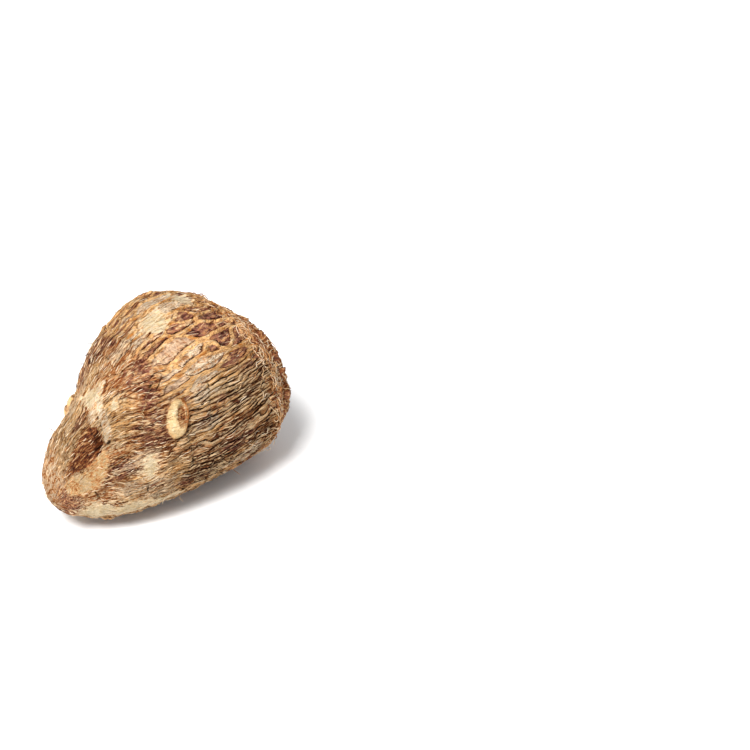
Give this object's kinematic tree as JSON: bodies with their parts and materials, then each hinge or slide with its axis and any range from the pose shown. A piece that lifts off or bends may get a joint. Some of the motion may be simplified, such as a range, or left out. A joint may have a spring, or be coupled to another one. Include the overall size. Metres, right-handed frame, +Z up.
{
  "type": "cocoyam corm",
  "caption": "Whole unpeeled cocoyam corm, sold as yam: a blunt-tipped, swollen stem with leaf-scar rings, side buds and a fibrous crown, lying on its side.",
  "frame": {"origin": "on the surface it lies on, under the middle of its box", "axes": "+X from the narrow tip towards the crown, +Z up with the corm lying on its side"},
  "size_m": [0.123, 0.0902, 0.0787],
  "materials": {
    "corm_skin": "dry fibrous bark-like skin, golden tan ridges over dark brown wrinkles, matt"
  },
  "bodies": {
    "root": {"yam_corm": "corm_skin"}
  },
  "joints": []
}
